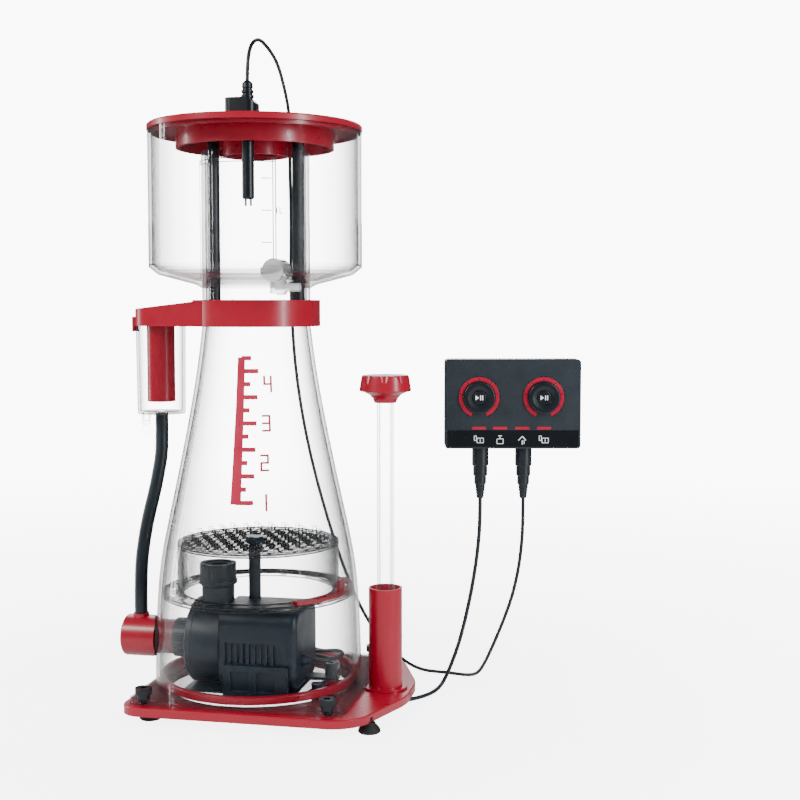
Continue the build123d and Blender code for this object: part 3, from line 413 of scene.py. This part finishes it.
CAD_LOOKS = {
    "red": [
        "base_plate", "locating_ring", "neck_collar", "silencer_tube", "venturi_housing",
        "outlet_column", "valve_knob", "lid", "flow_shutter", "valve_sleeve",
    ],
    "slate": [
        "volute_cover", "volute_chamber", "motor_housing", "motor_end_cap", "pump_cradle", "outlet_nut",
        "pump_union", "hold_down_bracket", "cord_glands", "impeller", "bubble_post",
    ],
    "black": [
        "thumbscrew_1", "thumbscrew_2", "thumbscrew_3", "thumbscrew_4", "wiper_rods", "level_sensor",
        "dial_left", "dial_right", "button_left", "button_right",
    ],
    "case": ["controller_case"],
    "window": ["controller_front"],
    "rubber": ["feet", "collar_oring", "port_gasket"],
    "hose": ["air_hose"],
    "cord": ["pump_plug", "sensor_plug"],
    "clear": ["reaction_cone"],
    "cup_clear": ["cup_wall", "cup_floor", "cup_neck"],
    "small_clear": ["silencer_cup", "silencer_drain", "valve_tube"],
    "tap_clear": ["drain_valve_body", "drain_tap"],
    "plate_clear": ["bubble_plate", "ring_plate"],
    "led": ["led_lenses"],
    "ceramic": ["impeller_shaft", "rotor_bearings"],
    "ferrite": ["rotor_magnet"],
    "steel": ["stator"],
    "board": ["circuit_board"],
}


def dress_cad(materials):
    """Gives every CAD node its material."""
    for look, nodes in CAD_LOOKS.items():
        for node in nodes:
            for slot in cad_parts[node].material_slots:
                slot.material = materials[look]


# ---- cords ----
PUMP_INNER_ROUTE = [
    (0.059, -0.040, 0.047), (0.069, -0.040, 0.047), (0.078, -0.028, 0.0475), (0.079, -0.008, 0.046),
    (0.070, 0.012, 0.043), (0.052, 0.022, 0.039), (0.034, 0.026, 0.035), (0.021, 0.037, 0.030),
    (0.024, 0.053, 0.026), (0.042, 0.059, 0.024), (0.058, 0.049, 0.0234), (0.066, 0.031, 0.023),
    (0.0675, 0.011, 0.0227), (0.064, -0.007, 0.0225), (0.063, -0.019, 0.0225), (0.063, -0.031, 0.0225),
]

PUMP_CORD_ROUTE = [
    (0.070, -0.037, 0.0052), (0.080, -0.037, 0.0052), (0.093, -0.032, 0.0032), (0.105, -0.022, 0.002),
    (0.114, -0.009, 0.0019), (0.124, 0.004, 0.0019), (0.1345, 0.0145, 0.0019), (0.143, 0.025, 0.0019),
    (0.1495, 0.038, 0.0019), (0.155, 0.0495, 0.0046), (0.160, 0.054, 0.0145), (0.165, 0.055, 0.027),
    (0.172, 0.0564, 0.048), (0.1795, 0.0582, 0.081), (0.1848, 0.059, 0.112), (0.1878, 0.0592, 0.138),
    (0.1889, 0.0588, 0.158), (0.1889, 0.0588, 0.176),
]

SENSOR_UPPER_ROUTE = [
    (0.0112, -0.055, 0.5316), (0.0112, -0.055, 0.546), (0.012, -0.048, 0.563), (0.013, -0.029, 0.571),
    (0.013, -0.006, 0.5685), (0.0118, 0.020, 0.564), (0.0084, 0.047, 0.5575), (0.004, 0.074, 0.5485),
    (0.0016, 0.095, 0.535), (0.0009, 0.103, 0.520), (0.0009, 0.103, CUT_Z),
]

SENSOR_LOWER_ROUTE = [
    (0.0009, 0.103, CUT_Z), (0.0009, 0.103, 0.475), (0.0019, 0.1034, 0.430), (0.0008, 0.1038, 0.380),
    (0.0018, 0.1042, 0.330), (0.005, 0.105, 0.285), (0.012, 0.106, 0.237), (0.022, 0.1075, 0.190),
    (0.035, 0.109, 0.143), (0.048, 0.110, 0.103), (0.062, 0.1106, 0.068), (0.077, 0.1108, 0.041),
    (0.094, 0.1106, 0.022), (0.110, 0.1094, 0.009), (0.126, 0.1075, 0.0024), (0.142, 0.1064, 0.0016),
    (0.158, 0.1046, 0.0016), (0.172, 0.099, 0.002), (0.183, 0.0885, 0.007), (0.191, 0.0775, 0.020),
    (0.200, 0.069, 0.040), (0.209, 0.0654, 0.062), (0.2175, 0.065, 0.086), (0.2232, 0.0658, 0.112),
    (0.226, 0.0666, 0.138), (0.2266, 0.0665, 0.158), (0.2266, 0.0665, 0.176),
]


def route_curve(name, points, diameter):
    """A smooth open NURBS cord through its control points."""
    data = bpy.data.curves.new(name, "CURVE")
    data.dimensions = "3D"
    data.resolution_u = 10
    data.bevel_depth = diameter / 2
    data.bevel_resolution = 5
    data.use_fill_caps = True
    spline = data.splines.new("NURBS")
    spline.points.add(len(points) - 1)
    for point, place in zip(spline.points, points):
        point.co = (*place, 1.0)
    spline.order_u = 3
    spline.use_endpoint_u = True
    cord = bpy.data.objects.new(name, data)
    bpy.context.collection.objects.link(cord)
    return cord


def centre_line(curve):
    """The points along a cord's own line, and their total length."""
    bevel = curve.data.bevel_depth
    curve.data.bevel_depth = 0.0
    bpy.context.view_layer.update()
    mesh = bpy.data.meshes.new_from_object(curve)
    points = [v.co.copy() for v in mesh.vertices]
    bpy.data.meshes.remove(mesh)
    curve.data.bevel_depth = bevel
    length = sum((b - a).length for a, b in zip(points, points[1:]))
    return points, length


def as_mesh(curve):
    """The cord as a mesh tube with the same name."""
    bpy.context.view_layer.update()
    mesh = bpy.data.meshes.new_from_object(curve)
    name = curve.name
    bpy.data.objects.remove(curve)
    tube = bpy.data.objects.new(name, mesh)
    bpy.context.collection.objects.link(tube)
    for face in mesh.polygons:
        face.use_smooth = True
    return tube


def make_cords(materials):
    """The pump's cord in two pieces that stay put, and the sensor's in two pieces."""
    resting = [
        ("pump_cord_inside", "pump_cord_inner", PUMP_INNER_ROUTE, "object", []),
        ("pump_cord_outside", "pump_cord", PUMP_CORD_ROUTE, "plug", ["pump_plug"]),
    ]
    for name, node, route, far_end, ends in resting:
        cord = route_curve(name, route, PUMP_CORD_D)
        length = centre_line(cord)[1]
        cord.data.materials.append(materials["cord"])
        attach(cord, "frame")
        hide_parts(node)
    bending = [
        ("sensor_cord_over_lid", "sensor_cord_upper", SENSOR_UPPER_ROUTE, "object", [], ("lid", "cup"),
         SENSOR_UPPER_ROUTE[4], SENSOR_UPPER_ROUTE[-2]),
        ("sensor_cord_behind", "sensor_cord_lower", SENSOR_LOWER_ROUTE, "plug", ["sensor_plug"],
         ("cup", "frame"), (0.0, BACK_Y, LOWER_BEND_Z[0]), (0.0, BACK_Y, LOWER_BEND_Z[1])),
    ]
    for name, node, route, far_end, ends, bodies, start, end in bending:
        curve = route_curve(name, route, SENSOR_CORD_D)
        path, length = centre_line(curve)
        cord = as_mesh(curve)
        cord.data.materials.append(materials["cord"])
        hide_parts(node)
        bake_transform(cord)


# ---- print on curved and flat faces ----
def strip_mesh(name, quads, material, body):
    """A piece made of separate quads, each four corners."""
    mesh = bpy.data.meshes.new(name)
    vertices = [corner for quad in quads for corner in quad]
    faces = [tuple(range(4 * k, 4 * k + 4)) for k in range(len(quads))]
    mesh.from_pydata([tuple(v) for v in vertices], [], faces)
    piece = bpy.data.objects.new(name, mesh)
    mesh.materials.append(material)
    bpy.context.collection.objects.link(piece)
    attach(piece, body)
    return piece


def cone_radius(z):
    """The column's outside radius at a height."""
    for (r0, z0), (r1, z1) in zip(CONE_PROFILE, CONE_PROFILE[1:]):
        if z0 <= z <= z1:
            return r0 + (r1 - r0) * (z - z0) / (z1 - z0)
    return CONE_PROFILE[-1][0]


def on_round(radius, degrees, z):
    """A point on a round wall about the Z axis."""
    angle = math.radians(degrees)
    return Vector((radius * math.cos(angle), radius * math.sin(angle), z))


def round_quads(radius_at, from_angle, to_angle, low, high, steps=6):
    """Quads of a band on a round wall."""
    quads = []
    for k in range(steps):
        a = from_angle + (to_angle - from_angle) * k / steps
        b = from_angle + (to_angle - from_angle) * (k + 1) / steps
        quads.append([
            on_round(radius_at(low), a, low), on_round(radius_at(low), b, low),
            on_round(radius_at(high), b, high), on_round(radius_at(high), a, high),
        ])
    return quads


# The strokes of each figure, and each stroke's left, bottom, right and top in a figure one wide and two high.
FIGURE_STROKES = {"1": "bc", "2": "abged", "3": "abgcd", "4": "fgbc", "L": "fed"}
STROKE_BOXES = {
    "a": (0, 1.75, 1, 2), "b": (0.75, 1, 1, 2), "c": (0.75, 0, 1, 1), "d": (0, 0, 1, 0.25),
    "e": (0, 0, 0.25, 1), "f": (0, 1, 0.25, 2), "g": (0, 0.875, 1, 1.125),
}
FIGURE_WIDTH = 0.55


def figure_quads(character, degrees, z, height, radius_at):
    """One plain stroke figure laid on a round wall, reading upright from outside."""
    quads = []
    width = height * FIGURE_WIDTH
    radius = radius_at(z)
    for stroke in FIGURE_STROKES[character]:
        left, bottom, right, top = STROKE_BOXES[stroke]
        low, high = z + bottom * height / 2, z + top * height / 2
        first = degrees + math.degrees(left * width / radius)
        last = degrees + math.degrees(right * width / radius)
        quads += round_quads(radius_at, first, last, low, high, 2)
    return quads


def make_level_scale(materials):
    """A red level scale up the front of the column. Its ticks keep their length as the wall narrows."""
    def outside(z):
        return cone_radius(z) + WALL_LIFT

    left, right = SCALE_ANGLE - SCALE_HALF_ANGLE, SCALE_ANGLE + SCALE_HALF_ANGLE
    quads = []
    for k in range(SCALE_STEPS):
        low = SCALE_LOW + k * SCALE_STEP
        quads += round_quads(outside, left, right, low, low + SCALE_STEP, 2)
    for k in range(TICKS):
        z = SCALE_LOW + TICK_START + k * TICK_PITCH
        span = LONG_TICK if k % 2 == 0 else SHORT_TICK
        end = SCALE_ANGLE + span * TICK_RADIUS / outside(z)
        quads += round_quads(outside, SCALE_ANGLE, end, z - TICK_HALF, z + TICK_HALF, 4)
        if k % 3 == 0:
            figure = str(k // 3 + 1)
            at = SCALE_ANGLE + SCALE_FIGURE_AT * TICK_RADIUS / outside(z)
            quads += figure_quads(figure, at, z - SCALE_FIGURE_H / 2, SCALE_FIGURE_H, outside)
    strip_mesh("level_scale", quads, materials["red_print"], "frame")


def make_cup_marks(materials):
    """Half-litre marks on the front of the cup."""
    def outside(_z):
        return CUP_R + CUP_LIFT

    quads = []
    for z in MARK_Z:
        quads += round_quads(outside, MARK_ANGLE, MARK_ANGLE + MARK_SPAN, z - MARK_HALF, z + MARK_HALF, 4)
    for figure, shift in MARK_FIGURES:
        bottom = MARK_Z[1] - MARK_FIGURE_H / 2
        quads += figure_quads(figure, MARK_ANGLE + shift, bottom, MARK_FIGURE_H, outside)
    strip_mesh("cup_marks", quads, materials["grey_print"], "cup")


def make_neck_frame_painted_shade(materials):
    """Painted shade: dark strips on the edges of the shallow frame moulded on the neck's front, where the
    clear plastic looks dark.
    """
    def outside(_z):
        return FRAME_R

    low, high = FRAME_Z
    left, right = FRAME_ANGLES
    quads = []
    for angle in (left, left + FRAME_BAR, right - FRAME_BAR, right):
        quads += round_quads(outside, angle - FRAME_HALF_ANGLE, angle + FRAME_HALF_ANGLE, low, high, 1)
    for z in (high - FRAME_BAND, high):
        quads += round_quads(outside, left, right, z - FRAME_LINE, z, 30)
    strip_mesh("neck_frame_painted_shade_strips", quads, materials["edge"], "cup")


def slot_loop(middle, half_width):
    """Points round one of the ring plate's slots, which lies along the ring at an angle in radians."""
    centre = Vector((SLOT_R * math.cos(middle), SLOT_R * math.sin(middle), ring_high.z + RIM_LIFT))
    along = Vector((-math.sin(middle), math.cos(middle), 0.0))
    across = Vector((math.cos(middle), math.sin(middle), 0.0))
    straight = SLOT_SIZE[0] - SLOT_SIZE[1]
    points = []
    for step in range(SLOT_POINTS):
        turn = 2 * math.pi * (step + 0.5) / SLOT_POINTS
        shift = math.copysign(straight, math.cos(turn)) + half_width * math.cos(turn)
        points.append(centre + along * shift + across * half_width * math.sin(turn))
    return points


def make_plate_rim_painted_shade(materials):
    """Painted shade: dark strips on the machined rims of the two clear plates and round the ring plate's
    slots, where the clear plastic looks dark.
    """
    rims = []
    for radius, bottom, top in PLATE_WALLS:
        rims += [(radius, top - RIM_HALF), (radius, bottom + RIM_HALF)]
    rims.append((RING_HOLE_R, ring_high.z - RIM_HALF))
    quads = []
    for radius, z in rims:
        lifted = radius + RIM_LIFT
        quads += round_quads(lambda _z, r=lifted: r, -180.0, 180.0, z - RIM_HALF, z + RIM_HALF, 72)
    for number in range(SLOTS):
        middle = math.radians(number * 360.0 / SLOTS)
        inner = slot_loop(middle, SLOT_SIZE[1] - SLOT_LINE)
        outer = slot_loop(middle, SLOT_SIZE[1])
        for k in range(SLOT_POINTS):
            after = (k + 1) % SLOT_POINTS
            quads.append([inner[k], inner[after], outer[after], outer[k]])
    strip_mesh("plate_rim_painted_shade_strips", quads, materials["edge"], "frame")


def on_controller(x, y, z):
    """A point given in the controller's own frame, front towards -Y."""
    return CONTROLLER_AT + Matrix.Rotation(CONTROLLER_TURN, 3, "Z") @ Vector((x, y, z))


def flat_icon(name, shapes, depth, material, body):
    """Flat shapes printed on a controller face, each a list of (x, z) corners in its own frame."""
    mesh = bpy.data.meshes.new(name)
    vertices, faces = [], []
    for shape in shapes:
        start = len(vertices)
        vertices += [tuple(on_controller(x, depth, z)) for x, z in shape]
        faces.append(tuple(range(start, len(vertices))))
    mesh.from_pydata(vertices, [], faces)
    mesh.materials.append(material)
    icon = bpy.data.objects.new(name, mesh)
    bpy.context.collection.objects.link(icon)
    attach(icon, body)
    return icon


def bar(x0, z0, x1, z1):
    """A filled rectangle."""
    return [(x0, z0), (x1, z0), (x1, z1), (x0, z1)]


def outline(x0, z0, x1, z1):
    """The four bars of a rectangle's outline."""
    return [
        bar(x0, z0, x1, z0 + ICON_LINE), bar(x0, z1 - ICON_LINE, x1, z1), bar(x0, z0, x0 + ICON_LINE, z1),
        bar(x1 - ICON_LINE, z0, x1, z1),
    ]


def start_icon(x, z):
    """A triangle and two bars."""
    return [
        [(x - 0.0034, z - 0.0021), (x - 0.0004, z), (x - 0.0034, z + 0.0021)],
        bar(x + 0.0006, z - 0.0021, x + 0.0014, z + 0.0021),
        bar(x + 0.0024, z - 0.0021, x + 0.0032, z + 0.0021),
    ]


def boxes_icon(x, z):
    """Two boxes side by side, one higher, with a short bar in the lower."""
    lower = outline(x - 0.0020, z - 0.0026, x + 0.0042, z + 0.0020)
    higher = outline(x - 0.0044, z - 0.0006, x - 0.0020, z + 0.0040)
    return lower + higher + [bar(x + 0.0008, z - 0.0014, x + 0.0014, z + 0.0008)]


def vessel_icon(x, z):
    """A box with a stem and a cap."""
    stem = bar(x - 0.0003, z + 0.0014, x + 0.0003, z + 0.0036)
    cap = bar(x - 0.0016, z + 0.0036, x + 0.0016, z + 0.0042)
    return outline(x - 0.0030, z - 0.0034, x + 0.0030, z + 0.0014) + [stem, cap]


def roof_icon(x, z):
    """Two slopes over a post and a shorter one."""
    return [
        [(x - 0.0036, z), (x - 0.0030, z - 0.0004), (x + 0.0004, z + 0.0034), (x, z + 0.0040)],
        [(x + 0.0036, z), (x + 0.0030, z - 0.0004), (x - 0.0004, z + 0.0034), (x, z + 0.0040)],
        bar(x - 0.0003, z - 0.0040, x + 0.0003, z - 0.0002),
        bar(x + 0.0014, z - 0.0034, x + 0.0020, z - 0.0002),
    ]


def make_icons(materials):
    """The start symbols on both push buttons and the four symbols under the status lights."""
    white = materials["white"]
    face = CONTROLLER_FRONT - BUTTON_RISE - PRINT_LIFT
    for side, x in zip(("left", "right"), DIAL_X):
        symbol = start_icon(x, DIAL_Z)
        flat_icon(f"start_icon_{side}", symbol, face, white, f"button_{side}")
    panel = CONTROLLER_FRONT - PRINT_LIFT + WINDOW_RECESS
    symbols = (boxes_icon, vessel_icon, roof_icon, boxes_icon)
    for number, (symbol, x) in enumerate(zip(symbols, ICON_X), start=1):
        flat_icon(f"status_icon_{number}", symbol(x, ICON_Z), panel, white, "frame")


def lens_prism(outline_points):
    """Corners and faces of a light pipe: an outline on the controller's front, given a little depth."""
    front, back = CONTROLLER_FRONT - PRINT_LIFT, CONTROLLER_FRONT + LENS_DEPTH
    count = len(outline_points)
    corners = [tuple(on_controller(x, depth, z)) for depth in (front, back) for x, z in outline_points]
    faces = [tuple(range(count)), tuple(reversed(range(count, 2 * count)))]
    faces += [(k, k + count, (k + 1) % count + count, (k + 1) % count) for k in range(count)]
    return corners, faces


def make_light_pipes(materials):
    """The lit rings round both dials, as eight curved segments each, and the row of four status lights."""
    outlines = []
    for x in DIAL_X:
        for k in range(RING_SEGMENTS):
            start = math.radians(RING_START + k * RING_PITCH - RING_HALF_ANGLE)
            turns = [start + math.radians(2 * RING_HALF_ANGLE) * step / 6 for step in range(7)]
            inner = [(x + RING_R[0] * math.cos(t), DIAL_Z + RING_R[0] * math.sin(t)) for t in turns]
            outer = [(x + RING_R[1] * math.cos(t), DIAL_Z + RING_R[1] * math.sin(t)) for t in turns]
            outlines.append(inner + outer[::-1])
    for x in ICON_X:
        outlines.append(bar(x - STATUS_HALF, STATUS_Z[0], x + STATUS_HALF, STATUS_Z[1]))
    mesh = bpy.data.meshes.new("light_pipes")
    vertices, faces = [], []
    for points in outlines:
        corners, sides = lens_prism(points)
        faces += [tuple(len(vertices) + index for index in side) for side in sides]
        vertices += corners
    mesh.from_pydata(vertices, [], faces)
    mesh.materials.append(materials["led"])
    pipes = bpy.data.objects.new("light_pipes", mesh)
    bpy.context.collection.objects.link(pipes)
    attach(pipes, "frame")
    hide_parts("led_lenses")


# ---- small screws ----
def screw_head(name, place, direction, radius, material, body):
    """A domed screw head with a round socket, standing on a face."""
    mesh = bpy.data.meshes.new(name)
    builder = bmesh.new()
    profile = [(1.0, 0.0), (1.0, 0.55), (0.85, 0.8), (0.5, 0.85), (0.5, 0.35)]
    turns = [2 * math.pi * k / SCREW_SIDES for k in range(SCREW_SIDES)]
    loops = []
    for r, h in profile:
        ring = [(r * radius * math.cos(t), r * radius * math.sin(t), h * radius) for t in turns]
        loops.append([builder.verts.new(point) for point in ring])
    for lower, upper in zip(loops, loops[1:]):
        for k in range(SCREW_SIDES):
            after = (k + 1) % SCREW_SIDES
            builder.faces.new((lower[k], lower[after], upper[after], upper[k]))
    builder.faces.new(loops[-1])
    builder.to_mesh(mesh)
    builder.free()
    for face in mesh.polygons:
        face.use_smooth = True
    mesh.materials.append(material)
    head = bpy.data.objects.new(name, mesh)
    turn = Vector(direction).to_track_quat("Z", "Y").to_matrix().to_4x4()
    head.matrix_world = Matrix.Translation(place) @ turn
    bpy.context.collection.objects.link(head)
    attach(head, body)


def make_screws(materials):
    """The ring of small screws that hold the pump's cover."""
    for index in range(COVER_SCREWS):
        angle = math.radians((index + 0.5) * 360 / COVER_SCREWS)
        y = PUMP_Y + COVER_SCREW_RING * math.cos(angle)
        z = PUMP_Z + COVER_SCREW_RING * math.sin(angle)
        place = Vector((COVER_FACE_X, y, z))
        name = f"cover_screw_{index + 1}"
        screw_head(name, place, (-1, 0, 0), COVER_SCREW_R, materials["steel"], "frame")


make_camera()
make_world()
make_lights()
make_floor()
looks = make_materials()
dress_cad(looks)
make_cords(looks)
make_level_scale(looks)
make_cup_marks(looks)
make_neck_frame_painted_shade(looks)
make_plate_rim_painted_shade(looks)
make_icons(looks)
make_light_pipes(looks)
make_screws(looks)
